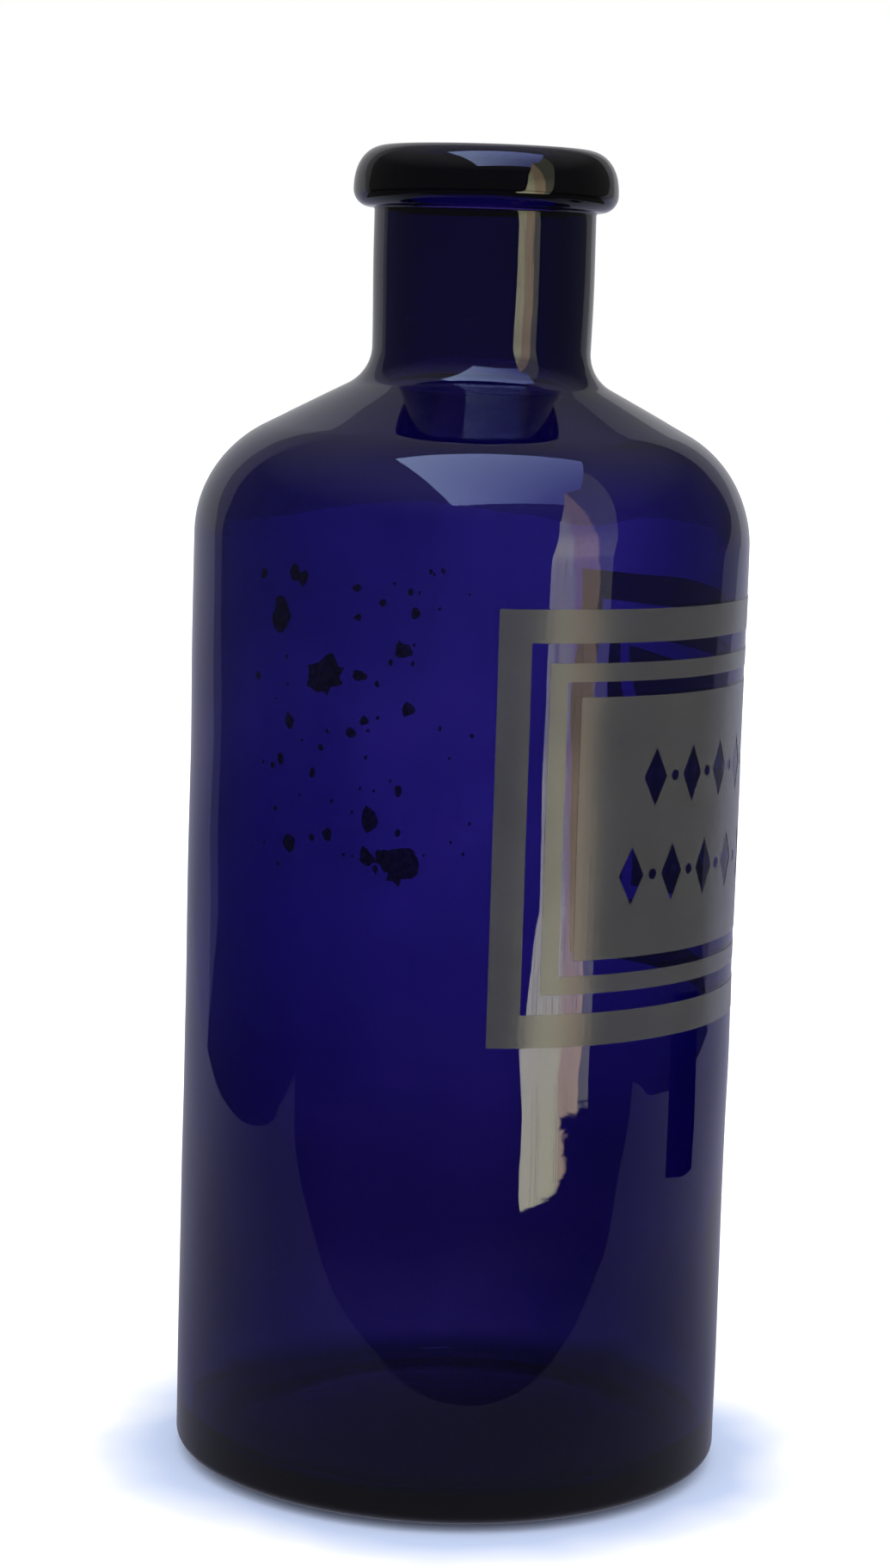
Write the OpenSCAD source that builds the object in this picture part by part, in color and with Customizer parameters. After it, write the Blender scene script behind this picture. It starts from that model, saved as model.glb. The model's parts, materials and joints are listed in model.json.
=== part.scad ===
// Wide-mouthed pharmacy bottle: a blown body with an applied lip and a label etched into its wall.
// The origin is the middle of the ring that it stands on. +Z is up the axis and the label faces -Y.
// All sizes are in millimetres.

/* [Body] */
// Outside diameter of the wall where it turns in to the shoulder
body_d = 95.2; // [76:0.2:120]
// How much less the outside diameter is just above the heel, so that the bottle draws from its mould
mould_draw = 0; // [0:0.1:4]
// Height at which the wall turns in to the shoulder
shoulder_z = 160.5; // [130:0.5:200]
// Thickness of the wall of the body and shoulder
wall = 3.2; // [2:0.1:5]

/* [Base] */
// Width of the rounded heel, measured in from the wall
heel_w = 7; // [3:0.1:12]
// Height of the rounded heel
heel_h = 3.2; // [2:0.1:10]
// Width of the flat ring that the bottle stands on
ring_w = 4; // [2:0.5:8]
// Height of the middle of the base above the ring
push_up = 3.8; // [1:0.1:8]
// Thickness of the glass in the base
base_t = 3.6; // [3:0.1:9]
// Radius of the corner between floor and wall on the inside
floor_r = 6; // [4:0.5:14]

/* [Shoulder and neck] */
// Outside radius of the shoulder's curve
shoulder_r = 20.8; // [12:0.1:28]
// How steeply the shoulder's flank falls from the neck, in degrees below level
flank_fall = 27.5; // [15:0.5:40]
// Radius of the hollow curve between flank and neck
neck_hollow_r = 7.1; // [4:0.1:12]
// Diameter of the mouth's bore
mouth_d = 30; // [22:0.1:38]
// Thickness of the neck's wall at its foot
neck_wall = 3.75; // [2.5:0.05:6]
// How much the neck's outside diameter grows from its foot to its top
neck_flare = 0.5; // [0:0.1:2]
// Length of bare neck between its foot and the lip
neck_len = 23.4; // [15:0.1:40]

/* [Lip] */
// How far the lip stands out from the top of the neck
lip_overhang = 3.7; // [2.5:0.1:6]
// Height of the lip
lip_h = 10.4; // [7:0.1:16]
// Radius of the lip's lower edge
lip_under_r = 3; // [1:0.1:3.5]
// Fullness of the lip's crown: 2 is an oval, more is squarer
lip_fullness = 2.3; // [2:0.1:3]
// Radius of the rounded edge round the mouth
mouth_edge_r = 1.6; // [0.8:0.1:2.5]

/* [Etched label] */
// Width of the label, measured round the wall
label_w = 123; // [90:1:150]
// Height of the label
label_h = 71; // [50:1:90]
// Distance from the shoulder's start down to the label's top edge
label_drop = 8.2; // [4:0.1:20]
// Width of the outer border
outer_border_w = 5.4; // [3:0.1:8]
// Width of the inner border
inner_border_w = 3; // [1.5:0.1:6]
// Clear glass between the two borders
border_gap = 3.2; // [1:0.1:6]
// Clear glass between the inner border and the panel
panel_gap = 2.5; // [1:0.1:6]
// Depth of the frosted skin
etch_depth = 0.3; // [0.2:0.05:0.6]

/* [Ornament left clear in the panel] */
// Width of a lozenge
lozenge_w = 5.2; // [3:0.1:8]
// Height of a lozenge
lozenge_h = 9.6; // [5:0.1:14]
// Distance between the middles of two lozenges in a row
lozenge_pitch = 9.2; // [7:0.1:14]
// Diameter of the dot between two lozenges
dot_d = 1.8; // [0.8:0.1:3]
// Distance between the two rows
row_gap = 16; // [10:0.5:24]
// Plain margin at each end of the upper row
upper_margin = 12; // [5:0.5:20]
// Plain margin at each end of the lower row
lower_margin = 7; // [5:0.5:20]

/* [Hidden] */
$fn = 180;
arc_steps = 16;
// How far cutters run past the face that they cut
over = 1;
// Compass bearing of the label's middle, counted from +X towards +Y
label_bearing = -90;
cobalt = [0.06, 0.04, 0.36, 0.75];
dark_cobalt = [0.04, 0.03, 0.22, 0.85];
frost = [0.42, 0.42, 0.44];

body_r = body_d / 2;
foot_r = (body_d - mould_draw) / 2;
mouth_r = mouth_d / 2;
neck_foot_r = mouth_r + neck_wall;
neck_top_r = neck_foot_r + neck_flare / 2;
lip_r = neck_top_r + lip_overhang;
// Bearing of the shoulder curve's end, where the flank begins
flank_turn = 90 - flank_fall;

// Radius of the outside of the wall at height z, between heel and shoulder
function wall_r(z) = foot_r + (body_r - foot_r) * (z - heel_h) / (shoulder_z - heel_h);

// Points along an arc about centre c with radius r, from angle a to angle b
function arc(c, r, a, b, steps = arc_steps) =
    [for (i = [0:steps]) c + r * [cos(a + (b - a) * i / steps), sin(a + (b - a) * i / steps)]];

// Points of a full oval's upper right quarter about c, w wide and h high, from its side to its top
function full_oval(c, w, h, fullness, steps = arc_steps) =
    [for (i = [0:steps]) let (a = 90 * i / steps)
        c + [w * pow(cos(a), 2 / fullness), h * pow(sin(a), 2 / fullness)]];

// Height of the neck's foot when a shoulder curve of radius r starts at the body radius br, and a
// hollow curve of radius hollow ends at the neck radius nr
function neck_foot_z(br, r, hollow, nr) =
    shoulder_z + r * sin(flank_turn) + hollow * sin(flank_turn)
    + (br - r * (1 - cos(flank_turn)) - nr - hollow * (1 - cos(flank_turn))) / tan(flank_turn);

// Shoulder from the wall to the neck: the round, the straight flank between, and the hollow
function shoulder_line(br, r, hollow, nr) = concat(
    arc([br - r, shoulder_z], r, 0, flank_turn),
    arc([nr + hollow, neck_foot_z(br, r, hollow, nr)], hollow, 180 + flank_turn, 180)
);

neck_z = neck_foot_z(body_r, shoulder_r, neck_hollow_r, neck_foot_r);
lip_z = neck_z + neck_len;
top_z = lip_z + lip_h;
// The neck's own glass ends where the rounded edge of the mouth begins
neck_top_z = top_z - mouth_edge_r;

// Radius of the outside of the neck at height z
function neck_r(z) = neck_foot_r + (neck_top_r - neck_foot_r) * (z - neck_z) / (neck_top_z - neck_z);

ring_r = foot_r - heel_w - ring_w;
// Radius of a dome that rises by push_up over the radius r
function dome_r(r) = (r * r + push_up * push_up) / (2 * push_up);
// Points of that dome from the axis out to r, its rim at height z
function dome(r, z) =
    arc([0, z + push_up - dome_r(r)], dome_r(r), 90, acos(r / dome_r(r)));

function reversed(points) = [for (i = [len(points) - 1:-1:0]) points[i]];

// Rounded heel from the standing ring up to the wall
heel_line = [for (p = arc([0, 0], 1, -90, 0)) [foot_r - heel_w + heel_w * p[0], heel_h + heel_h * p[1]]];

outside_line = concat(
    dome(ring_r, 0),
    heel_line,
    shoulder_line(body_r, shoulder_r, neck_hollow_r, neck_foot_r),
    [[neck_top_r, neck_top_z]]
);
inside_foot_r = wall_r(base_t + floor_r) - wall;
inside_line = concat(
    dome(inside_foot_r - floor_r, base_t),
    arc([inside_foot_r - floor_r, base_t + floor_r], floor_r, -90, 0),
    shoulder_line(body_r - wall, shoulder_r - wall, neck_hollow_r + wall, mouth_r),
    [[mouth_r, neck_top_z]]
);

label_top_z = shoulder_z - label_drop;
label_foot_z = label_top_z - label_h;
label_mid_z = label_top_z - label_h / 2;
inner_border_inset = outer_border_w + border_gap;
panel_inset = inner_border_inset + inner_border_w + panel_gap;

// Degrees round the axis for a length measured round the wall at the label's middle
function turn(length) = length / wall_r(label_mid_z) * 180 / PI;

// Piece of the wall's outer skin, as wide and high as the label less the inset on every side
module skin(inset, depth, proud) {
    half_turn = turn(label_w / 2 - inset);
    low = label_foot_z + inset;
    high = label_top_z - inset;
    rotate([0, 0, label_bearing - half_turn])
        rotate_extrude(angle = 2 * half_turn)
            polygon([
                [wall_r(low) - depth, low],
                [wall_r(low) + proud, low],
                [wall_r(high) + proud, high],
                [wall_r(high) - depth, high]
            ]);
}

// Etched border whose outer edge lies inset from the label's edge; proud lifts its face to make a cutter
module border(inset, width, proud = 0) {
    difference() {
        skin(inset, etch_depth, proud);
        skin(inset + width, etch_depth + over, proud + over);
    }
}

// Number of lozenges that fit the panel between two margins
function lozenge_count(margin) =
    floor((label_w - 2 * panel_inset - 2 * margin - lozenge_w) / lozenge_pitch) + 1;

// Stands a flat shape up against the wall, shift millimetres round it and at height z
module on_wall(shift, z) {
    rotate([0, 0, label_bearing + turn(shift)])
        translate([wall_r(z) - etch_depth - over, 0, z])
            rotate([90, 0, 90])
                linear_extrude(height = etch_depth + 3 * over)
                    children();
}

// One row of clear lozenges with a dot between each two
module ornament_row(z, margin) {
    count = lozenge_count(margin);
    first = -(count - 1) / 2 * lozenge_pitch;
    for (i = [0:count - 1])
        on_wall(first + i * lozenge_pitch, z)
            polygon([[-lozenge_w / 2, 0], [0, -lozenge_h / 2], [lozenge_w / 2, 0], [0, lozenge_h / 2]]);
    for (i = [0:count - 2])
        on_wall(first + (i + 0.5) * lozenge_pitch, z)
            circle(d = dot_d, $fn = 32);
}

module panel(proud = 0) {
    difference() {
        skin(panel_inset, etch_depth, proud);
        ornament_row(label_mid_z + row_gap / 2, upper_margin);
        ornament_row(label_mid_z - row_gap / 2, lower_margin);
    }
}

// Blown in one piece: pushed-up base, heel, wall, shoulder and neck, with seats for the etched skins
module bottle_body() {
    color(cobalt)
        difference() {
            rotate_extrude() polygon(concat(outside_line, reversed(inside_line)));
            border(0, outer_border_w, over);
            border(inner_border_inset, inner_border_w, over);
            panel(over);
        }
}

// Second gather of glass, wound round the end of the neck, lapped over it and tooled round
module lip_collar() {
    edge_mid_r = mouth_r + mouth_edge_r;
    under_top_z = lip_z + lip_under_r;
    color(dark_cobalt)
        rotate_extrude()
            polygon(concat(
                [[neck_r(lip_z), lip_z]],
                arc([lip_r - lip_under_r, under_top_z], lip_under_r, -90, 0),
                full_oval([edge_mid_r, under_top_z], lip_r - edge_mid_r, top_z - under_top_z, lip_fullness),
                arc([edge_mid_r, neck_top_z], mouth_edge_r, 90, 180),
                [[neck_top_r, neck_top_z]]
            ));
}

// Frosted skins of the etched label, flush with the wall
module label_outer_border() {
    color(frost) border(0, outer_border_w);
}

module label_inner_border() {
    color(frost) border(inner_border_inset, inner_border_w);
}

module label_panel() {
    color(frost) panel();
}

bottle_body();
lip_collar();
label_outer_border();
label_inner_border();
label_panel();
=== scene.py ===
import json
import math

import bpy
from mathutils import Matrix, Vector

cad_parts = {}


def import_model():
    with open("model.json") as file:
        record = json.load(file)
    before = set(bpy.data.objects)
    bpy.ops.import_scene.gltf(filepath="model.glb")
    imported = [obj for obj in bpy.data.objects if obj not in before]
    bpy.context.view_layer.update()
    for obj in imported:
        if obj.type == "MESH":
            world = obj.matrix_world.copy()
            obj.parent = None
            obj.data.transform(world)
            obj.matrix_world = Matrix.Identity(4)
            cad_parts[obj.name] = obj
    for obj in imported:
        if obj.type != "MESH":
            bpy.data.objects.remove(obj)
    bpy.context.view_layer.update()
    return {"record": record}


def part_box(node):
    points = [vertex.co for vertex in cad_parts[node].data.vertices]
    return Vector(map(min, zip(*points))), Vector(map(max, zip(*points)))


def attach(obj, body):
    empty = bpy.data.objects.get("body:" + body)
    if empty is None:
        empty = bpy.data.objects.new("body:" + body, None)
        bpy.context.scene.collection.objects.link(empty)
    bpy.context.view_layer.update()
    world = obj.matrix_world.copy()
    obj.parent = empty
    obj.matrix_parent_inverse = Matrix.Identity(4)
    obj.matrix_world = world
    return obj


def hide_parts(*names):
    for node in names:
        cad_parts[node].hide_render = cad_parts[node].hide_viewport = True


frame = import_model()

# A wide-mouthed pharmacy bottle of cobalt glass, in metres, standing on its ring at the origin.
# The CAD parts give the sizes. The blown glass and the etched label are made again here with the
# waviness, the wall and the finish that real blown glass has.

MM = 0.001

# Sizes read from the CAD parts
BODY_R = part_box("bottle_body")[1].x
LIP_LOW, LIP_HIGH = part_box("lip_collar")
LABEL_LOW, LABEL_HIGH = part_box("label_outer_border")
MOUTH = next(m for m in frame["record"]["mounts"] if m["name"] == "mouth")

LIP_R = LIP_HIGH.x
LIP_Z = LIP_LOW.z
TOP_Z = LIP_HIGH.z
MOUTH_R = MOUTH["dims"]["r_mm"] * MM

# Sizes of the blown glass that no box gives
HEEL_W = 7 * MM
HEEL_H = 3.2 * MM
RING_W = 4 * MM
PUSH_UP = 3.8 * MM
BASE_T = 3.6 * MM
FLOOR_R = 6 * MM
WALL = 3.2 * MM
SHOULDER_Z = 160.5 * MM
SHOULDER_R = 20.8 * MM
HOLLOW_R = 7.1 * MM
FLANK_TURN = 62.5
NECK_FOOT_R = MOUTH_R + 3.75 * MM
NECK_TOP_R = NECK_FOOT_R + 0.25 * MM
LIP_UNDER_R = 3 * MM
LIP_FULLNESS = 2.3
LIP_SEAM_R = 0.5 * MM
MOUTH_EDGE_R = 1.6 * MM

# The etched label
LABEL_BEARING = -90
LABEL_W = 123 * MM
LABEL_H = LABEL_HIGH.z - LABEL_LOW.z
LABEL_MID_Z = (LABEL_HIGH.z + LABEL_LOW.z) / 2
OUTER_BORDER_W = 5.4 * MM
INNER_BORDER_W = 3 * MM
INNER_BORDER_INSET = 8.6 * MM
PANEL_INSET = 14.1 * MM
LOZENGE_W = 5.2 * MM
LOZENGE_H = 9.6 * MM
LOZENGE_PITCH = 9.2 * MM
DOT_D = 1.8 * MM
ROW_GAP = 16 * MM
UPPER_COUNT = 8
LOWER_COUNT = 9

# How the blown glass wanders from its outline
COLUMNS = 240
OUTSIDE_WAVE = 0.9 * MM
INSIDE_WAVE = 1.6 * MM
WAVE_SCALE = 26.0
# Where the noise is cut off, so that the outside never swells past the CAD wall
OUTSIDE_WAVE_TOP = 0.72
NECK_LEAN = 0.6 * MM
LEAN_FROM_Z = 165 * MM
LEAN_TO_Z = 195 * MM
POINTS_MEET = 0.001 * MM

# The skins of the etched label and how far they lie off the glass
SKIN_T = 0.05 * MM
SKIN_GAP = 0.02 * MM
# Length of the tools that cut through a skin
TOOL_LENGTH = 10 * MM

# The flakes of residue on the inside of the wall
FLAKE_COUNT = 80
FLAKE_SPAN = 42 * MM
FLAKE_LOW_Z = 106 * MM
FLAKE_HIGH_Z = 158 * MM
FLAKE_SMALLEST = 0.22 * MM
FLAKE_LARGEST = 1.5 * MM
FLAKE_T = 0.05 * MM
FLAKE_GAP = 0.03 * MM
# Bearing of the scatter's middle, counted from the viewer. Less than 0 is to the viewer's left
FLAKE_TURN = math.radians(-24)

# How far the viewer stands round the bottle from its -Y side
VIEW_TURN = math.radians(-79.8)


def in_view(x, y, z):
    """A place given as the viewer sees it, x to the right and y away, in the bottle's own frame."""
    return Matrix.Rotation(VIEW_TURN, 4, "Z") @ Vector((x, y, z))


# ---------------------------------------------------------------- node helpers

def add(tree, kind, wires=(), **settings):
    """Puts a node in the tree. Its inputs get a value or a wire from another node's output."""
    node = tree.nodes.new(kind)
    for name, value in settings.items():
        setattr(node, name, value)
    for place, value in dict(wires).items():
        if isinstance(value, bpy.types.NodeSocket):
            tree.links.new(value, node.inputs[place])
        else:
            node.inputs[place].default_value = value
    return node


def maths(tree, operation, *terms, clamp=False):
    """One sum on one, two or three numbers."""
    node = add(tree, "ShaderNodeMath", enumerate(terms), operation=operation, use_clamp=clamp)
    return node.outputs[0]


def shape_tree(name, *inputs):
    """A geometry tree with named inputs. Gives the tree and a dict of the inputs' sockets."""
    tree = bpy.data.node_groups.new(name, "GeometryNodeTree")
    tree.interface.new_socket("Geometry", in_out="INPUT", socket_type="NodeSocketGeometry")
    for label, kind in inputs:
        tree.interface.new_socket(label, in_out="INPUT", socket_type="NodeSocket" + kind)
    tree.interface.new_socket("Geometry", in_out="OUTPUT", socket_type="NodeSocketGeometry")
    return tree, add(tree, "NodeGroupInput").outputs


def end_tree(tree, geometry, material):
    """Every tree ends in Realize Instances and Set Material."""
    real = add(tree, "GeometryNodeRealizeInstances", {"Geometry": geometry})
    dressed = add(tree, "GeometryNodeSetMaterial", {"Geometry": real.outputs[0], "Material": material})
    add(tree, "NodeGroupOutput", {0: dressed.outputs[0]})


def grow(name, tree, sizes, points=(), edges=()):
    """Makes a piece with a geometry tree, then keeps the result as a plain mesh."""
    start = bpy.data.meshes.new(name)
    start.from_pydata(points, edges, [])
    piece = bpy.data.objects.new(name, start)
    bpy.context.scene.collection.objects.link(piece)
    modifier = piece.modifiers.new("shape", "NODES")
    modifier.node_group = tree
    for item in tree.interface.items_tree:
        if item.item_type == "SOCKET" and item.in_out == "INPUT" and item.name in sizes:
            modifier[item.identifier] = sizes[item.name]
    made = bpy.data.meshes.new_from_object(piece.evaluated_get(bpy.context.evaluated_depsgraph_get()))
    piece.modifiers.clear()
    piece.data = made
    made.name = name
    return piece


def split(tree, vector):
    return add(tree, "ShaderNodeSeparateXYZ", {0: vector}).outputs


def join(tree, x, y, z):
    return add(tree, "ShaderNodeCombineXYZ", {0: x, 1: y, 2: z}).outputs[0]


def vector_sum(tree, operation, a, b):
    """One sum on two vectors, or on a vector and a number."""
    node = add(tree, "ShaderNodeVectorMath", {0: a}, operation=operation)
    if operation == "SCALE":
        slot = node.inputs["Scale"]
    else:
        slot = node.inputs[1]
    if isinstance(b, bpy.types.NodeSocket):
        tree.links.new(b, slot)
    else:
        slot.default_value = b
    return node.outputs[0]


# ---------------------------------------------------------------- the blown glass

def arc(centre, radius, start, end, steps):
    """Points along an arc, in (radius, height), from one angle in degrees to another."""
    turns = [math.radians(start + (end - start) * i / steps) for i in range(steps + 1)]
    return [(centre[0] + radius * math.cos(a), centre[1] + radius * math.sin(a)) for a in turns]


def straight(start, end, steps):
    """Points between two ends, without the ends."""
    shares = [i / steps for i in range(1, steps)]
    return [(start[0] + (end[0] - start[0]) * s, start[1] + (end[1] - start[1]) * s) for s in shares]


def full_oval(centre, width, height, fullness, steps):
    """Upper right quarter of a full oval, from its side to its top."""
    turns = [math.pi / 2 * i / steps for i in range(steps + 1)]
    power = 2 / fullness
    return [(centre[0] + width * math.cos(a) ** power, centre[1] + height * math.sin(a) ** power)
            for a in turns[:-1]] + [(centre[0], centre[1] + height)]


def dome(rim_r, rim_z, steps):
    """Push-up of the base, from the axis out to its rim."""
    dome_r = (rim_r ** 2 + PUSH_UP ** 2) / (2 * PUSH_UP)
    rim_turn = math.degrees(math.acos(rim_r / dome_r))
    points = arc((0, rim_z + PUSH_UP - dome_r), dome_r, 90, rim_turn, steps)
    return [(0, points[0][1])] + points[1:]


def shoulder(wall_r, round_r, hollow_r, neck_r):
    """Shoulder line from the wall to the foot of the neck."""
    turn = math.radians(FLANK_TURN)
    run = wall_r - round_r * (1 - math.cos(turn)) - neck_r - hollow_r * (1 - math.cos(turn))
    foot_z = SHOULDER_Z + (round_r + hollow_r) * math.sin(turn) + run / math.tan(turn)
    lower = arc((wall_r - round_r, SHOULDER_Z), round_r, 0, FLANK_TURN, 36)
    upper = arc((neck_r + hollow_r, foot_z), hollow_r, 180 + FLANK_TURN, 180, 20)
    return lower + straight(lower[-1], upper[0], 8) + upper


def outside_line():
    """Outside of the bottle from the middle of its base to the mouth."""
    heel_r = BODY_R - HEEL_W
    ring_r = heel_r - RING_W
    heel = [(heel_r + HEEL_W * x, HEEL_H + HEEL_H * z) for x, z in arc((0, 0), 1, -90, 0, 20)]
    rise = shoulder(BODY_R, SHOULDER_R, HOLLOW_R, NECK_FOOT_R)
    seam = arc((NECK_TOP_R + LIP_SEAM_R, LIP_Z - LIP_SEAM_R), LIP_SEAM_R, 180, 90, 6)
    under_z = LIP_Z + LIP_UNDER_R
    edge_r = MOUTH_R + MOUTH_EDGE_R
    under = arc((LIP_R - LIP_UNDER_R, under_z), LIP_UNDER_R, -90, 0, 16)
    crown = full_oval((edge_r, under_z), LIP_R - edge_r, TOP_Z - under_z, LIP_FULLNESS, 40)
    edge = arc((edge_r, TOP_Z - MOUTH_EDGE_R), MOUTH_EDGE_R, 90, 180, 12)
    return (dome(ring_r, 0, 16) + straight((ring_r, 0), heel[0], 3) + heel
            + straight(heel[-1], rise[0], 64) + rise + straight(rise[-1], seam[0], 14)
            + seam + under + crown[1:] + edge[1:])


def inside_line():
    """Inside of the bottle from the middle of its floor to the mouth."""
    foot_r = BODY_R - WALL
    corner = arc((foot_r - FLOOR_R, BASE_T + FLOOR_R), FLOOR_R, -90, 0, 14)
    rise = shoulder(BODY_R - WALL, SHOULDER_R - WALL, HOLLOW_R + WALL, MOUTH_R)
    top = (MOUTH_R, TOP_Z - MOUTH_EDGE_R)
    return (dome(foot_r - FLOOR_R, BASE_T, 12)[:-1] + corner + straight(corner[-1], rise[0], 44)
            + rise + straight(rise[-1], top, 16))


def outline_point(tree, outline, row):
    """Radius and height of one point of the drawn outline."""
    drawn = add(tree, "GeometryNodeSampleIndex", data_type="FLOAT_VECTOR", domain="POINT")
    tree.links.new(outline, drawn.inputs["Geometry"])
    tree.links.new(add(tree, "GeometryNodeInputPosition").outputs[0], drawn.inputs["Value"])
    tree.links.new(row, drawn.inputs["Index"])
    x, y, z = split(tree, drawn.outputs["Value"])
    return x, z


def around(tree, way, radius, height):
    """A place at a radius along a level direction, and at a height."""
    return vector_sum(tree, "ADD", vector_sum(tree, "SCALE", way, radius), join(tree, 0.0, 0.0, height))


def swelling(tree, size, plain, inside):
    """How far the wall wanders from its outline. The two sides of the wall wander apart."""
    other_side = 7.0
    noise = add(tree, "ShaderNodeTexNoise", {
        "Vector": plain, "W": maths(tree, "MULTIPLY_ADD", inside, other_side, size["Seed"]),
        "Scale": size["Wave scale"], "Detail": 1.0}, noise_dimensions="4D").outputs[0]
    outer = maths(tree, "MULTIPLY", maths(tree, "SUBTRACT", noise, OUTSIDE_WAVE_TOP),
                  size["Outside waviness"])
    inner = maths(tree, "MULTIPLY", maths(tree, "SUBTRACT", noise, 0.5), size["Inside waviness"])
    return maths(tree, "ADD", maths(tree, "MULTIPLY", inner, inside),
                 maths(tree, "MULTIPLY", outer, maths(tree, "SUBTRACT", 1.0, inside)))


def turning_tree():
    """Turns an outline round the axis into a closed wall, wavy as blown glass is."""
    tree, size = shape_tree(
        "turned_glass", ("Columns", "Int"), ("Outside points", "Int"), ("Outside waviness", "Float"),
        ("Inside waviness", "Float"), ("Wave scale", "Float"), ("Lean", "Vector"),
        ("Lean from", "Float"), ("Lean to", "Float"), ("Seed", "Int"), ("Glass", "Material"))
    outline = size["Geometry"]
    counted = add(tree, "GeometryNodeAttributeDomainSize", {0: outline}, component="MESH")
    rows = counted.outputs["Point Count"]
    sheet = add(tree, "GeometryNodeMeshGrid", {
        "Size X": 1.0, "Size Y": 1.0, "Vertices X": rows,
        "Vertices Y": maths(tree, "ADD", size["Columns"], 1)}).outputs["Mesh"]
    across = split(tree, add(tree, "GeometryNodeInputPosition").outputs[0])
    row_share = maths(tree, "ADD", across[0], 0.5)
    row = maths(tree, "ROUND", maths(tree, "MULTIPLY", row_share, maths(tree, "SUBTRACT", rows, 1)))
    radius, height = outline_point(tree, outline, row)
    turn = maths(tree, "MULTIPLY", maths(tree, "ADD", across[1], 0.5), -2 * math.pi)
    way = join(tree, maths(tree, "COSINE", turn), maths(tree, "SINE", turn), 0.0)
    inside = maths(tree, "GREATER_THAN", row, size["Outside points"])
    swell = swelling(tree, size, around(tree, way, radius, height), inside)
    # The swell fades out over the last 10 mm towards the axis, so that the poles stay closed
    off_axis = maths(tree, "MULTIPLY", radius, 100.0, clamp=True)
    wavy = around(tree, way, maths(tree, "MULTIPLY_ADD", swell, off_axis, radius), height)
    lean_share = add(tree, "ShaderNodeMapRange", {
        "Value": height, "From Min": size["Lean from"], "From Max": size["Lean to"]},
        interpolation_type="SMOOTHSTEP").outputs[0]
    place = vector_sum(tree, "ADD", wavy, vector_sum(tree, "SCALE", size["Lean"], lean_share))
    turned = add(tree, "GeometryNodeSetPosition", {"Geometry": sheet, "Position": place}).outputs[0]
    whole = add(tree, "GeometryNodeMergeByDistance", {
        "Geometry": turned, "Distance": POINTS_MEET}).outputs[0]
    smooth = add(tree, "GeometryNodeSetShadeSmooth", {"Geometry": whole}).outputs[0]
    end_tree(tree, smooth, size["Glass"])
    return tree


def blown_glass(glass):
    """Body, neck and lip as one piece of glass, as they are once the hot lip has joined the neck."""
    outside, inside = outside_line(), inside_line()
    points = [(r, 0, z) for r, z in outside + inside[::-1]]
    edges = [(i, i + 1) for i in range(len(points) - 1)]
    return grow("blown_glass", turning_tree(), {
        "Columns": COLUMNS, "Outside points": len(outside) - 1, "Outside waviness": OUTSIDE_WAVE,
        "Inside waviness": INSIDE_WAVE, "Wave scale": WAVE_SCALE, "Lean": in_view(NECK_LEAN, 0, 0),
        "Lean from": LEAN_FROM_Z, "Lean to": LEAN_TO_Z, "Seed": 3, "Glass": glass}, points, edges)


# ---------------------------------------------------------------- the etched label

def lay_on_wall(tree, flat, wall, gap, mid_z, bearing):
    """Bends a flat skin round the wall: x runs round it clockwise, z up it and y out of it."""
    at = split(tree, add(tree, "GeometryNodeInputPosition").outputs[0])
    turn = maths(tree, "SUBTRACT", bearing, maths(tree, "DIVIDE", at[0], BODY_R))
    way = join(tree, maths(tree, "COSINE", turn), maths(tree, "SINE", turn), 0.0)
    stand_off = 10 * MM
    ray = add(tree, "GeometryNodeRaycast", {
        "Target Geometry": wall,
        "Source Position": around(tree, way, BODY_R + stand_off, maths(tree, "ADD", at[2], mid_z)),
        "Ray Direction": vector_sum(tree, "SCALE", way, -1.0), "Ray Length": 3 * stand_off})
    out = vector_sum(tree, "SCALE", way, maths(tree, "ADD", at[1], gap))
    place = vector_sum(tree, "ADD", ray.outputs["Hit Position"], out)
    return add(tree, "GeometryNodeSetPosition", {"Geometry": flat, "Position": place}).outputs[0]


def slab(tree, width, height, depth, columns, rows):
    """Flat skin standing on its edge, its back at y = 0."""
    block = add(tree, "GeometryNodeMeshCube", {
        "Size": join(tree, width, depth, height), "Vertices X": columns, "Vertices Y": 2,
        "Vertices Z": rows}).outputs["Mesh"]
    lift = join(tree, 0.0, maths(tree, "MULTIPLY", depth, 0.5), 0.0)
    return add(tree, "GeometryNodeTransform", {"Geometry": block, "Translation": lift}).outputs[0]


def cut(tree, block, cutter):
    return add(tree, "GeometryNodeMeshBoolean", {"Mesh 1": block, "Mesh 2": cutter},
               operation="DIFFERENCE", solver="EXACT").outputs[0]


SKIN_INPUTS = (("Wall", "Object"), ("Width", "Float"), ("Height", "Float"), ("Depth", "Float"),
               ("Gap", "Float"), ("Middle height", "Float"), ("Bearing", "Float"),
               ("Finish", "Material"))


def skin_end(tree, size, flat):
    wall = add(tree, "GeometryNodeObjectInfo", {"Object": size["Wall"]}).outputs["Geometry"]
    bent = lay_on_wall(tree, flat, wall, size["Gap"], size["Middle height"], size["Bearing"])
    end_tree(tree, bent, size["Finish"])
    return tree


def border_tree():
    """One etched border: a frosted skin with its middle left out."""
    tree, size = shape_tree("etched_border", *SKIN_INPUTS, ("Border", "Float"))
    whole = slab(tree, size["Width"], size["Height"], size["Depth"], 97, 49)
    twice = maths(tree, "MULTIPLY", size["Border"], 2.0)
    hole = add(tree, "GeometryNodeMeshCube", {
        "Size": join(tree, maths(tree, "SUBTRACT", size["Width"], twice), TOOL_LENGTH,
                     maths(tree, "SUBTRACT", size["Height"], twice))}).outputs["Mesh"]
    return skin_end(tree, size, cut(tree, whole, hole))


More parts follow.
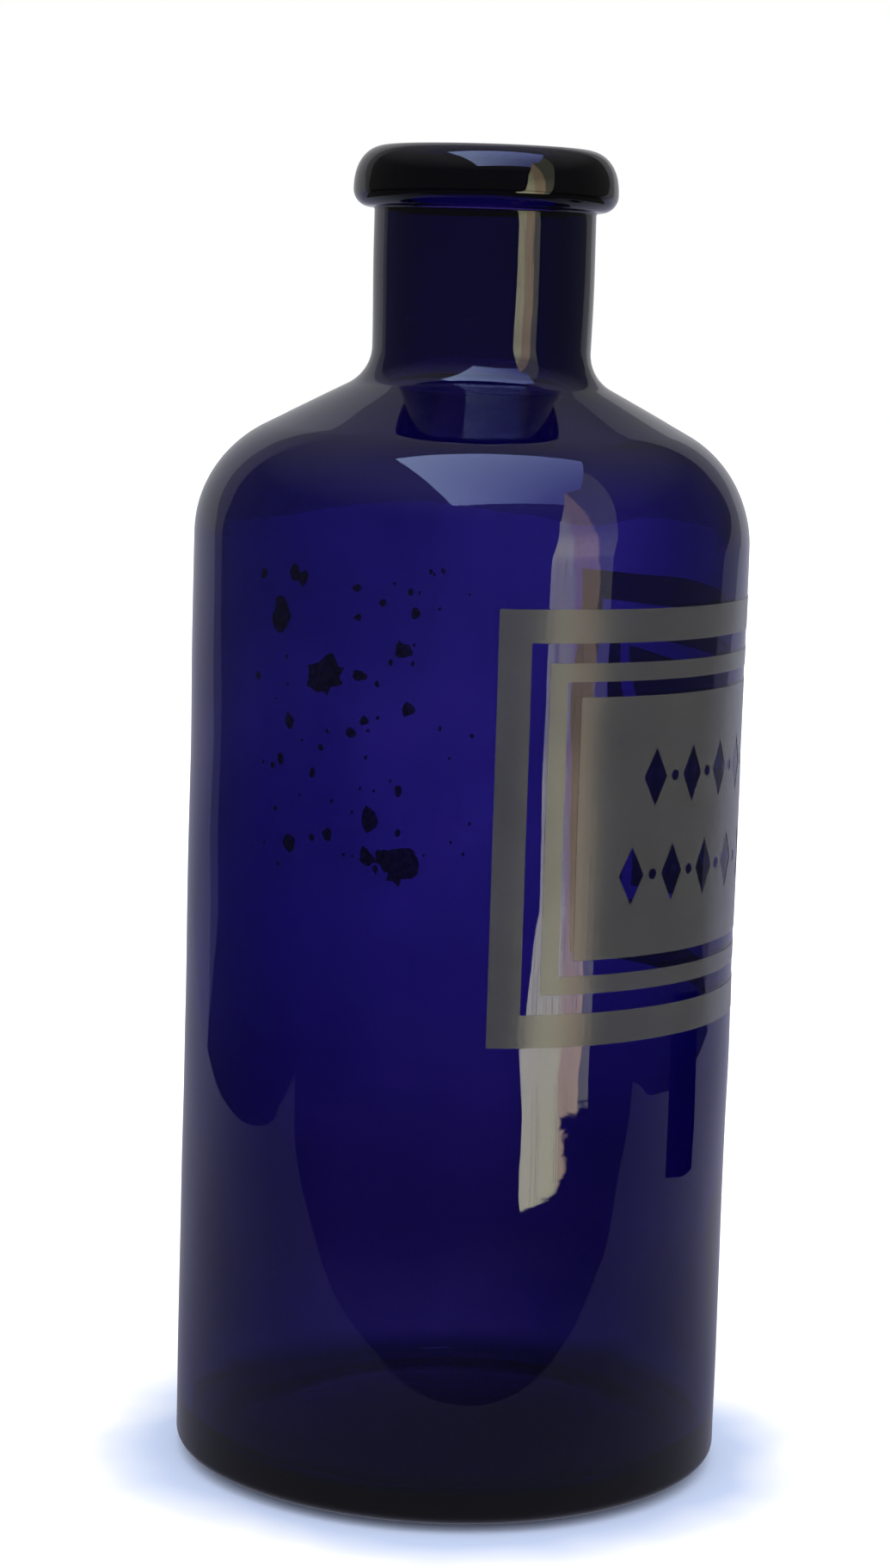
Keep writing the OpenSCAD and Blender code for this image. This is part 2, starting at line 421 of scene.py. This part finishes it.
def row_of(tree, tool, count, pitch, z):
    """A row of one shape, centred on the label's middle."""
    span = maths(tree, "MULTIPLY", maths(tree, "SUBTRACT", count, 1), pitch)
    line = add(tree, "GeometryNodeMeshLine", {
        "Count": count, "Start Location": join(tree, maths(tree, "MULTIPLY", span, -0.5), 0.0, z),
        "Offset": join(tree, pitch, 0.0, 0.0)}, mode="OFFSET").outputs["Mesh"]
    return add(tree, "GeometryNodeInstanceOnPoints", {"Points": line, "Instance": tool}).outputs[0]


def panel_tree():
    """The etched panel, with rows of lozenges and dots left clear in it."""
    tree, size = shape_tree(
        "etched_panel", *SKIN_INPUTS, ("Lozenge width", "Float"), ("Lozenge height", "Float"),
        ("Pitch", "Float"), ("Dot", "Float"), ("Row gap", "Float"), ("Upper count", "Int"),
        ("Lower count", "Int"))
    whole = slab(tree, size["Width"], size["Height"], size["Depth"], 81, 33)
    four_sided = add(tree, "GeometryNodeMeshCylinder", {
        "Vertices": 4, "Side Segments": 1, "Radius": 0.5, "Depth": TOOL_LENGTH}).outputs["Mesh"]
    lozenge = add(tree, "GeometryNodeTransform", {
        "Geometry": four_sided, "Rotation": (math.pi / 2, 0, 0),
        "Scale": join(tree, size["Lozenge width"], size["Lozenge height"], 1.0)}).outputs[0]
    round_bar = add(tree, "GeometryNodeMeshCylinder", {
        "Vertices": 28, "Radius": maths(tree, "MULTIPLY", size["Dot"], 0.5),
        "Depth": TOOL_LENGTH}).outputs["Mesh"]
    dot = add(tree, "GeometryNodeTransform", {
        "Geometry": round_bar, "Rotation": (math.pi / 2, 0, 0)}).outputs[0]
    tools = add(tree, "GeometryNodeJoinGeometry")
    for count, side in ((size["Upper count"], 0.5), (size["Lower count"], -0.5)):
        z = maths(tree, "MULTIPLY", size["Row gap"], side)
        dots = maths(tree, "SUBTRACT", count, 1)
        tree.links.new(row_of(tree, lozenge, count, size["Pitch"], z), tools.inputs[0])
        tree.links.new(row_of(tree, dot, dots, size["Pitch"], z), tools.inputs[0])
    cutters = add(tree, "GeometryNodeRealizeInstances", {0: tools.outputs[0]}).outputs[0]
    return skin_end(tree, size, cut(tree, whole, cutters))


def skin_sizes(wall, inset, finish):
    """Sizes that all three etched skins share, for one whose edge lies inset from the label's."""
    return {"Wall": wall, "Width": LABEL_W - 2 * inset, "Height": LABEL_H - 2 * inset,
            "Depth": SKIN_T, "Gap": SKIN_GAP, "Middle height": LABEL_MID_Z,
            "Bearing": math.radians(LABEL_BEARING), "Finish": finish}


def etched_label(wall, finish):
    """The two borders and the panel, laid on the wall of the blown glass."""
    ring = border_tree()
    outer = grow("frosted_outer_border", ring,
                 {**skin_sizes(wall, 0, finish), "Border": OUTER_BORDER_W})
    inner = grow("frosted_inner_border", ring,
                 {**skin_sizes(wall, INNER_BORDER_INSET, finish), "Border": INNER_BORDER_W})
    panel = grow("frosted_panel", panel_tree(), {
        **skin_sizes(wall, PANEL_INSET, finish), "Lozenge width": LOZENGE_W,
        "Lozenge height": LOZENGE_H, "Pitch": LOZENGE_PITCH, "Dot": DOT_D, "Row gap": ROW_GAP,
        "Upper count": UPPER_COUNT, "Lower count": LOWER_COUNT})
    return outer, inner, panel


# ---------------------------------------------------------------- dried residue

def live_output(node):
    """The output in use on a node that has one for every kind of value."""
    return next(o for o in node.outputs if o.enabled)


def chances(tree, seed, count):
    """Random shares between 0 and 1, each drawn with the next seed."""
    drawn = []
    for step in range(count):
        node = add(tree, "FunctionNodeRandomValue", data_type="FLOAT")
        tree.links.new(maths(tree, "ADD", seed, step), node.inputs["Seed"])
        drawn.append(live_output(node))
    return drawn


def with_girth(tree, points, girth):
    """Keeps the half width of a flake on its point."""
    kept = add(tree, "GeometryNodeStoreNamedAttribute", {"Geometry": points, "Name": "girth"},
               data_type="FLOAT", domain="POINT")
    tree.links.new(girth, kept.inputs["Value"])
    return kept.outputs[0]


def between(tree, share, low, high):
    return maths(tree, "MULTIPLY_ADD", share, maths(tree, "SUBTRACT", high, low), low)


def scattered_spots(tree, size, chance):
    """Spots of the small flakes. Most are close to the smallest."""
    spots = add(tree, "GeometryNodeMeshLine", {"Count": size["Count"]}).outputs["Mesh"]
    along = maths(tree, "MULTIPLY", maths(tree, "SUBTRACT", chance[0], 0.5), size["Span"])
    height = between(tree, chance[1], size["Low"], size["High"])
    spread = add(tree, "GeometryNodeSetPosition", {
        "Geometry": spots, "Position": join(tree, along, 0.0, height)}).outputs[0]
    girth = between(tree, maths(tree, "POWER", chance[2], 3.0), size["Smallest"], size["Largest"])
    return with_girth(tree, spread, girth)


def placed_spots(tree, size):
    """Spots of the large flakes, drawn as points whose y is the flake's girth."""
    drawn = split(tree, add(tree, "GeometryNodeInputPosition").outputs[0])
    sized = with_girth(tree, size["Geometry"], drawn[1])
    return add(tree, "GeometryNodeSetPosition", {
        "Geometry": sized,
        "Position": vector_sum(tree, "MULTIPLY", add(tree, "GeometryNodeInputPosition").outputs[0],
                               (1.0, 0.0, 1.0))}).outputs[0]


def ragged_discs(tree, size, spots, chance):
    """A thin upright disc on every spot, its edge pushed about by noise."""
    disc = add(tree, "GeometryNodeMeshCylinder", {
        "Vertices": 22, "Side Segments": 1, "Fill Segments": 3, "Radius": 1.0,
        "Depth": 1.0}).outputs["Mesh"]
    upright = add(tree, "GeometryNodeTransform", {
        "Geometry": disc, "Rotation": (math.pi / 2, 0, 0)}).outputs[0]
    girth = live_output(add(tree, "GeometryNodeInputNamedAttribute", {"Name": "girth"},
                            data_type="FLOAT"))
    tall = maths(tree, "MULTIPLY", girth, between(tree, chance, 0.8, 1.6))
    set_out = add(tree, "GeometryNodeInstanceOnPoints", {
        "Points": spots, "Instance": upright,
        "Scale": join(tree, girth, size["Depth"], tall)}).outputs[0]
    loose = add(tree, "GeometryNodeRealizeInstances", {"Geometry": set_out}).outputs[0]
    here = add(tree, "GeometryNodeInputPosition").outputs[0]
    rag = add(tree, "ShaderNodeTexNoise", {
        "Vector": vector_sum(tree, "MULTIPLY", here, (1.0, 0.0, 1.0)), "W": size["Seed"],
        "Scale": 420.0, "Detail": 2.0, "Roughness": 0.6}, noise_dimensions="4D").outputs["Color"]
    push = vector_sum(tree, "MULTIPLY", vector_sum(tree, "SUBTRACT", rag, (0.5, 0.5, 0.5)),
                      (1.0, 0.0, 1.0))
    push = vector_sum(tree, "SCALE", push, maths(tree, "MULTIPLY", girth, 2.4))
    return add(tree, "GeometryNodeSetPosition", {"Geometry": loose, "Offset": push}).outputs[0]


def lay_inside(tree, size, flat):
    """Lays flat flakes on the inside of the wall: x runs round it, z up it and y towards it."""
    wall = add(tree, "GeometryNodeObjectInfo", {"Object": size["Wall"]}).outputs["Geometry"]
    at = split(tree, add(tree, "GeometryNodeInputPosition").outputs[0])
    turn = maths(tree, "ADD", maths(tree, "DIVIDE", at[0], BODY_R), size["Bearing"])
    way = join(tree, maths(tree, "COSINE", turn), maths(tree, "SINE", turn), 0.0)
    ray = add(tree, "GeometryNodeRaycast", {
        "Target Geometry": wall, "Source Position": join(tree, 0.0, 0.0, at[2]),
        "Ray Direction": way, "Ray Length": 0.06})
    back = maths(tree, "SUBTRACT", maths(tree, "SUBTRACT", maths(tree, "MULTIPLY", size["Depth"], -0.5),
                                         size["Gap"]), at[1])
    place = vector_sum(tree, "ADD", ray.outputs["Hit Position"], vector_sum(tree, "SCALE", way, back))
    return add(tree, "GeometryNodeSetPosition", {"Geometry": flat, "Position": place}).outputs[0]


def flake_tree():
    """Thin ragged flakes dried on to the inside of the wall: three large ones and a seeded scatter."""
    tree, size = shape_tree(
        "dried_flakes", ("Wall", "Object"), ("Count", "Int"), ("Span", "Float"), ("Low", "Float"),
        ("High", "Float"), ("Smallest", "Float"), ("Largest", "Float"), ("Depth", "Float"),
        ("Gap", "Float"), ("Bearing", "Float"), ("Seed", "Int"), ("Crust", "Material"))
    chance = chances(tree, size["Seed"], 4)
    spots = add(tree, "GeometryNodeJoinGeometry")
    tree.links.new(scattered_spots(tree, size, chance), spots.inputs[0])
    tree.links.new(placed_spots(tree, size), spots.inputs[0])
    discs = ragged_discs(tree, size, spots.outputs[0], chance[3])
    end_tree(tree, lay_inside(tree, size, discs), size["Crust"])
    return tree


def large_flake(turn, height, girth):
    """Point for a large flake: its bearing from the viewer in degrees, its height and girth in mm."""
    return ((math.radians(turn) - FLAKE_TURN) * BODY_R, girth * MM, height * MM)


def dried_residue(wall, crust):
    """Flakes of what the bottle last held, on the inside of the side that the viewer sees."""
    large = [large_flake(-30.5, 139.5, 3.4), large_flake(-12.5, 110.5, 3.0),
             large_flake(-42.5, 149.3, 1.8)]
    return grow("dried_residue", flake_tree(), {
        "Wall": wall, "Count": FLAKE_COUNT, "Span": FLAKE_SPAN, "Low": FLAKE_LOW_Z,
        "High": FLAKE_HIGH_Z, "Smallest": FLAKE_SMALLEST, "Largest": FLAKE_LARGEST,
        "Depth": FLAKE_T, "Gap": FLAKE_GAP, "Bearing": VIEW_TURN - math.pi / 2 + FLAKE_TURN,
        "Seed": 5, "Crust": crust}, large)


# ---------------------------------------------------------------- finishes

GLASS_IOR = 1.5


def roughen(tree, shader, height, strength, depth):
    """Gives a surface a fine relief."""
    bump = add(tree, "ShaderNodeBump", {"Height": height, "Strength": strength, "Distance": depth})
    tree.links.new(bump.outputs[0], shader.inputs["Normal"])


def finish_of(name):
    """A new material. Gives it, its tree and its surface shader."""
    material = bpy.data.materials.new(name)
    material.use_nodes = True
    tree = material.node_tree
    return material, tree, tree.nodes["Principled BSDF"]


def object_place(tree):
    return add(tree, "ShaderNodeTexCoord").outputs["Object"]


def grain(tree, place, scale, detail=2.0, roughness=0.5, distortion=0.0):
    return add(tree, "ShaderNodeTexNoise", {
        "Vector": place, "Scale": scale, "Detail": detail, "Roughness": roughness,
        "Distortion": distortion}).outputs[0]


def ramp(tree, value, low, high, low_out=0.0, high_out=1.0):
    """Spreads a value between two limits over another range."""
    return add(tree, "ShaderNodeMapRange", {
        "Value": value, "From Min": low, "From Max": high, "To Min": low_out,
        "To Max": high_out}).outputs[0]


def blend_colour(tree, share, first, second):
    node = add(tree, "ShaderNodeMix", {"Factor": share}, data_type="RGBA")
    colour_inputs = [s for s in node.inputs if s.type == "RGBA"]
    for slot, value in zip(colour_inputs, (first, second)):
        if isinstance(value, bpy.types.NodeSocket):
            tree.links.new(value, slot)
        else:
            slot.default_value = value
    return next(s for s in node.outputs if s.type == "RGBA")


def cobalt_tint(tree, place):
    """Uneven depth of colour: drawn out up the wall and deeper in the neck, with a painted shade low in
    the body for the shadowed floor seen through it.
    """
    across, along, up = split(tree, place)
    drawn = join(tree, across, along, maths(tree, "MULTIPLY", up, 0.12))
    cloud = maths(tree, "MULTIPLY_ADD", grain(tree, drawn, 90.0, 2.0), 0.5,
                  maths(tree, "MULTIPLY", grain(tree, place, 70.0, 4.0, 0.65), 0.5))
    plain = blend_colour(tree, ramp(tree, cloud, 0.38, 0.62), (0.86, 0.88, 0.93, 1), (1, 1, 1, 1))
    # Painted shade: the body is darker from about 10 to 90 mm up, most from 28 to 42 mm. This stands in
    # for the shadowed floor behind, seen through the glass.
    low_body_shade = maths(tree, "MULTIPLY", ramp(tree, up, 0.090, 0.042), ramp(tree, up, 0.010, 0.028))
    with_low_shade = blend_colour(tree, low_body_shade, plain, (0.66, 0.60, 0.62, 1))
    return blend_colour(tree, ramp(tree, up, 0.174, 0.190), with_low_shade, (0.70, 0.66, 0.62, 1))


def cobalt_finish():
    """Deep cobalt glass, polished, with handling smears and specks of dust."""
    material, tree, shader = finish_of("cobalt_glass")
    place = object_place(tree)
    smears = ramp(tree, grain(tree, place, 45.0, 4.0, 0.6, 0.4), 0.55, 0.75)
    specks = ramp(tree, grain(tree, place, 900.0, 2.0), 0.7, 0.78)
    tree.links.new(cobalt_tint(tree, place), shader.inputs["Base Color"])
    shader.inputs["Transmission Weight"].default_value = 1.0
    shader.inputs["IOR"].default_value = GLASS_IOR
    gloss = maths(tree, "MAXIMUM", maths(tree, "MULTIPLY", smears, 0.02),
                  maths(tree, "MULTIPLY", specks, 0.06))
    tree.links.new(gloss, shader.inputs["Roughness"])
    roughen(tree, shader, grain(tree, place, 120.0, 1.0), 0.05, 0.3 * MM)
    depth = add(tree, "ShaderNodeVolumeAbsorption", {"Color": (0.12, 0.01, 0.572, 1), "Density": 930.0})
    tree.links.new(depth.outputs[0], tree.nodes["Material Output"].inputs["Volume"])
    return material


def frosted_finish():
    """Acid-etched glass: a fine grey tooth that lets some light through, worn smoother by hands."""
    material, tree, shader = finish_of("frosted_glass")
    place = object_place(tree)
    cloud = grain(tree, place, 60.0, 4.0, 0.6)
    tooth = grain(tree, place, 2600.0, 2.0, 0.7)
    rubbed = ramp(tree, grain(tree, place, 30.0, 5.0, 0.65, 0.6), 0.6, 0.75)
    colour = blend_colour(tree, ramp(tree, cloud, 0.3, 0.7), (0.167, 0.167, 0.164, 1),
                          (0.210, 0.210, 0.205, 1))
    tree.links.new(colour, shader.inputs["Base Color"])
    shader.inputs["Transmission Weight"].default_value = 0.88
    tree.links.new(ramp(tree, rubbed, 0.0, 1.0, 0.21, 0.16), shader.inputs["Roughness"])
    shader.inputs["IOR"].default_value = GLASS_IOR
    roughen(tree, shader, tooth, 0.15, 0.05 * MM)
    return material


def residue_finish():
    """Dried dregs: a matte brown-black crust, thinner and lighter in places."""
    material, tree, shader = finish_of("dried_residue")
    place = object_place(tree)
    crust = grain(tree, place, 900.0, 3.0, 0.6)
    colour = blend_colour(tree, ramp(tree, crust, 0.35, 0.7), (0.10, 0.09, 0.08, 1),
                          (0.50, 0.45, 0.38, 1))
    tree.links.new(colour, shader.inputs["Base Color"])
    tree.links.new(ramp(tree, crust, 0.3, 0.7, 0.55, 0.75), shader.inputs["Roughness"])
    shader.inputs["Transmission Weight"].default_value = 0.6
    roughen(tree, shader, crust, 0.4, 0.1 * MM)
    return material


# ---------------------------------------------------------------- studio

def viewer_turn(pitch, roll, yaw):
    """How the viewer's head is turned: down by the pitch, clockwise by the roll and right by the yaw."""
    pitch, roll, yaw = math.radians(pitch), math.radians(roll), math.radians(yaw)
    ahead = Vector((math.sin(yaw) * math.cos(pitch), math.cos(yaw) * math.cos(pitch),
                    -math.sin(pitch)))
    level = Vector((math.cos(yaw), -math.sin(yaw), 0))
    upright = level.cross(ahead)
    right = level * math.cos(roll) + upright * math.sin(roll)
    up = upright * math.cos(roll) - level * math.sin(roll)
    return Matrix((right, up, -ahead)).transposed().to_4x4()


def camera():
    """The viewer, 0.6 m from the axis and a little below the level of the lip."""
    distance, height = 0.600, 0.1991
    data = bpy.data.cameras.new("viewer")
    data.lens = 80.33352
    data.clip_start, data.clip_end = 0.01, 50
    viewer = bpy.data.objects.new("viewer", data)
    bpy.context.scene.collection.objects.link(viewer)
    place = Matrix.Rotation(VIEW_TURN, 4, "Z") @ Matrix.Translation((0, -distance, height))
    viewer.matrix_world = place @ viewer_turn(7.73, 1.756, -0.319)
    bpy.context.scene.camera = viewer


def stage_sheet(name, corners, material, seen_by):
    """A flat card of the studio, which only the named kinds of ray see."""
    mesh = bpy.data.meshes.new(name)
    mesh.from_pydata([in_view(*c) for c in corners], [], [range(len(corners))])
    mesh.materials.append(material)
    card = bpy.data.objects.new(name, mesh)
    bpy.context.scene.collection.objects.link(card)
    for kind in ("camera", "diffuse", "glossy", "transmission", "shadow"):
        setattr(card, "visible_" + kind, kind in seen_by)
    return card


def sky_place(turn, rise, distance):
    """A place seen from the bottle at a bearing to the right of the viewer and a rise, in degrees."""
    turn, rise = math.radians(turn), math.radians(rise)
    return (distance * math.sin(turn), -distance * math.cos(turn), distance * math.tan(rise))


def glowing(name):
    """A material that only glows. Gives it, its tree and its emission node."""
    material = bpy.data.materials.new(name)
    material.use_nodes = True
    tree = material.node_tree
    tree.nodes.clear()
    light = add(tree, "ShaderNodeEmission")
    add(tree, "ShaderNodeOutputMaterial", {"Surface": light.outputs[0]})
    return material, tree, light


def viewer_axes(tree):
    """Object coordinates turned to the viewer's: x to the right, y away, z up."""
    return split(tree, add(tree, "ShaderNodeVectorRotate", {
        "Vector": object_place(tree), "Angle": -VIEW_TURN}, rotation_type="Z_AXIS").outputs[0])


def floor():
    """Plain pale floor, with a painted pool of dim blue light round the base, where light through the
    glass would fall.
    """
    material, tree, shader = finish_of("pale_floor_painted_blue_light")
    here = object_place(tree)
    away = add(tree, "ShaderNodeVectorMath", {0: here}, operation="LENGTH").outputs["Value"]
    # Painted light: out to about 60 to 74 mm from the axis, with a ragged edge, the floor's colour is a
    # dimmer blue. This stands in for light through the glass, and the floor is white beyond.
    spread = maths(tree, "MULTIPLY_ADD", grain(tree, here, 30.0), 0.02, away)
    colour = blend_colour(tree, ramp(tree, spread, 0.060, 0.074), (0.56, 0.65, 0.88, 1),
                          (0.97, 0.97, 0.97, 1))
    tree.links.new(colour, shader.inputs["Base Color"])
    shader.inputs["Roughness"].default_value = 0.9
    shader.inputs["Specular IOR Level"].default_value = 0.0
    half, drop = 6.0, -0.2 * MM
    stage_sheet("floor", [(-half, -half, drop), (half, -half, drop), (half, half, drop),
                          (-half, half, drop)], material, ("camera", "diffuse", "transmission"))


def dark_post():
    """A dark edge standing to the right of the bottle, which its glass mirrors."""
    material, tree, light = glowing("dark_post")
    light.inputs["Strength"].default_value = 0.0
    near, far, top = (0.255, 0.007), (0.236, 0.083), 0.045
    stage_sheet("post", [(*near, 0), (*far, 0), (*far, top), (*near, top)], material, ("glossy",))


def paper():
    """The sheet of paper under the bottle, as its glass mirrors it."""
    drop = -0.4 * MM
    stage_sheet("paper", [(-0.325, -0.150, drop), (0.350, -0.092, drop), (0.335, 0.9, drop),
                          (-0.300, 0.9, drop)], paper_glow(), ("glossy",))


def paper_glow():
    """White paper as the glass mirrors it, darker on the viewer's side and brighter on the right."""
    material, tree, light = glowing("paper_glow")
    x, y, z = viewer_axes(tree)
    lit = maths(tree, "MULTIPLY", ramp(tree, y, -0.08, 0.12, 0.16, 0.30),
                ramp(tree, x, -0.1, 0.2, 1.0, 1.15))
    light.inputs["Color"].default_value = (1.0, 1.0, 1.35, 1)
    tree.links.new(lit, light.inputs["Strength"])
    return material


def window_glow():
    """Overcast sky through a roof window, brighter and whiter to the left."""
    material, tree, light = glowing("window_glow")
    side = viewer_axes(tree)[0]
    share = ramp(tree, side, -0.4, 0.9)
    colour = blend_colour(tree, share, (0.50, 0.62, 1.0, 1), (0.36, 0.42, 1.0, 1))
    tree.links.new(colour, light.inputs["Color"])
    tree.links.new(ramp(tree, share, 0.0, 1.0, 5.6, 2.4), light.inputs["Strength"])
    return material


def doorway_colour(tree, turn, rise, streaks):
    """A pale wall, a pink one and a grey jamb, side by side with wandering edges."""
    pale = blend_colour(tree, ramp(tree, streaks, 0.35, 0.65), (1.0, 0.95, 0.56, 1),
                        (1.0, 0.98, 0.70, 1))
    up = join(tree, 0.0, 0.0, maths(tree, "MULTIPLY", rise, 9.0))
    wander = maths(tree, "MULTIPLY_ADD", maths(tree, "SUBTRACT", grain(tree, up, 2.0, 3.0, 0.7), 0.5),
                   9.0, turn)
    pink = blend_colour(tree, ramp(tree, wander, 41.5, 42.5), pale, (0.82, 0.63, 0.40, 1))
    return blend_colour(tree, ramp(tree, wander, 51.5, 52.0), pink, (0.27, 0.27, 0.20, 1))


def doorway_strength(tree, rise, upright):
    """Brightest near the foot, with dark upright lines."""
    lines = ramp(tree, grain(tree, upright, 4.5, 1.0), 0.32, 0.38, 0.35, 1.0)
    low = ramp(tree, rise, 0.00, -0.12, 2.8, 6.8)
    high = maths(tree, "MULTIPLY", ramp(tree, rise, 0.09, 0.14, 1.0, 1.5),
                 ramp(tree, rise, 0.25, 0.5, 1.0, 0.6))
    return maths(tree, "MULTIPLY", lines, maths(tree, "MULTIPLY", low, high))


def above_foot(tree, turn, rise):
    """1 above the doorway's slanting, ragged foot and 0 below it."""
    foot = ramp(tree, turn, 28.0, 54.0, -0.203, -0.174)
    teeth = join(tree, maths(tree, "MULTIPLY", turn, 0.15), 0.0, maths(tree, "MULTIPLY", rise, 600.0))
    rag = maths(tree, "SUBTRACT", grain(tree, teeth, 1.0, 2.0, 0.6), 0.5)
    ragged = maths(tree, "MULTIPLY_ADD", rag, 0.014, foot)
    return ramp(tree, maths(tree, "SUBTRACT", rise, ragged), 0.0, 0.003)


def doorway_glow():
    """Bright room behind an open door. Bearings are in degrees, and a rise is height over distance."""
    material, tree, light = glowing("doorway_glow")
    x, y, z = viewer_axes(tree)
    turn = maths(tree, "MULTIPLY", maths(tree, "ARCTAN2", x, maths(tree, "MULTIPLY", y, -1.0)),
                 180 / math.pi)
    level = add(tree, "ShaderNodeVectorMath", {0: join(tree, x, y, 0.0)},
                operation="LENGTH").outputs["Value"]
    rise = maths(tree, "DIVIDE", z, level)
    upright = join(tree, maths(tree, "MULTIPLY", turn, 0.55), 0.0, maths(tree, "MULTIPLY", rise, 3.0))
    streaks = grain(tree, upright, 1.0, 3.0, 0.6)
    tree.links.new(doorway_colour(tree, turn, rise, streaks), light.inputs["Color"])
    tree.links.new(doorway_strength(tree, rise, upright), light.inputs["Strength"])
    clear = add(tree, "ShaderNodeBsdfTransparent")
    shown = add(tree, "ShaderNodeMixShader", {
        0: above_foot(tree, turn, rise), 1: clear.outputs[0], 2: light.outputs[0]})
    tree.links.new(shown.outputs[0], tree.nodes["Material Output"].inputs["Surface"])
    return material


def doorway():
    """The doorway leans to the right as it rises, so it is a strip of several flat cards."""
    distance = 1.2
    # Rise of each level and the bearings of its two sides, in degrees
    levels = ((-14, 29.5, 57), (-8, 24.6, 56.5), (-4, 31, 56.5), (10, 34, 58), (30, 38, 63),
              (60, 60, 86), (70, 66, 92))
    material = doorway_glow()
    for step, (low, high) in enumerate(zip(levels, levels[1:])):
        corners = [sky_place(turn, rise, distance) for rise, turn in (
            (low[0], low[1]), (low[0], low[2]), (high[0], high[2]), (high[0], high[1]))]
        stage_sheet("doorway_%d" % step, corners, material, ("glossy",))


def backdrop_glow(name, strength):
    """White card behind the bottle, dimmer near the floor and on the left."""
    material, tree, light = glowing(name)
    x, y, z = viewer_axes(tree)
    lit = maths(tree, "MULTIPLY", ramp(tree, z, -0.10, 0.16, 0.62, 1.0),
                ramp(tree, x, -0.6, 0.5, 0.95, 1.10))
    tree.links.new(maths(tree, "MULTIPLY", lit, strength), light.inputs["Strength"])
    tint = blend_colour(tree, ramp(tree, z, -0.10, 0.20), (1.0, 1.0, 1.5, 1), (1.0, 1.0, 1.05, 1))
    tree.links.new(tint, light.inputs["Color"])
    return material


def window():
    """A roof window above the bottle and a little to the viewer's side."""
    height = 1.5
    corners = [(-0.31, 0.03), (0.42, 0.15), (0.84, -0.73), (-0.16, -1.05)]
    stage_sheet("window", [(x * height, y * height, height) for x, y in corners], window_glow(),
                ("glossy",))


def backdrop():
    """A white card behind the bottle and a dimmer, wider one behind that."""
    outline = [(-1.3, -0.25), (1.5, -0.25), (0.74, 0.14), (0.65, 0.36), (0.32, 0.60), (0.0, 1.5),
               (-0.34, 1.1), (-0.75, 0.83), (-1.3, 0.30)]
    near, far = 0.9, 1.0
    stage_sheet("backdrop", [(x * near, near, z * near) for x, z in outline],
                backdrop_glow("backdrop_glow", 0.46), ("glossy",))
    wider, taller, lift = 1.3, 1.25, 0.20
    wide = [(x * wider * far, far, (z * taller + lift if z > 0 else z) * far) for x, z in outline]
    stage_sheet("backdrop_edge", wide, backdrop_glow("backdrop_edge_glow", 0.26), ("glossy",))


def world():
    """White all round to the eye and through the glass, and a dim room in its polish."""
    made = bpy.data.worlds.new("studio")
    made.use_nodes = True
    bpy.context.scene.world = made
    tree = made.node_tree
    tree.nodes.clear()
    ray = add(tree, "ShaderNodeLightPath").outputs
    mirrored = maths(tree, "MULTIPLY", ray["Is Glossy Ray"],
                     maths(tree, "SUBTRACT", 1.0, ray["Is Transmission Ray"]))
    bright = add(tree, "ShaderNodeBackground", {
        "Color": (1, 1, 1, 1), "Strength": ramp(tree, ray["Is Diffuse Ray"], 0.0, 1.0, 1.0, 1.6)})
    rise = split(tree, add(tree, "ShaderNodeTexCoord").outputs["Generated"])[2]
    front = ramp(tree, rise, -0.22, -0.08, 0.03, 0.09)
    lower = ramp(tree, rise, -0.26, -0.29, 0.0, 0.04)
    ceiling = ramp(tree, rise, 0.50, 0.85, 0.0, 0.22)
    dim = add(tree, "ShaderNodeBackground", {
        "Color": (1.0, 0.98, 1, 1),
        "Strength": maths(tree, "ADD", front, maths(tree, "ADD", lower, ceiling))})
    both = add(tree, "ShaderNodeMixShader", {0: mirrored, 1: bright.outputs[0], 2: dim.outputs[0]})
    add(tree, "ShaderNodeOutputWorld", {"Surface": both.outputs[0]})


def studio():
    """The camera, the floor, and what the polished glass mirrors: cards that only mirror rays see."""
    bpy.context.scene.view_settings.view_transform = "Standard"
    camera()
    floor()
    dark_post()
    paper()
    window()
    doorway()
    backdrop()
    world()


# ---------------------------------------------------------------- assembly

def build():
    glass = blown_glass(cobalt_finish())
    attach(glass, "root")
    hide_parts("bottle_body", "lip_collar")
    stand_ins = ("label_outer_border", "label_inner_border", "label_panel")
    for skin, node in zip(etched_label(glass, frosted_finish()), stand_ins):
        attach(skin, "root")
        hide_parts(node)
    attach(dried_residue(glass, residue_finish()), "root")


build()
studio()
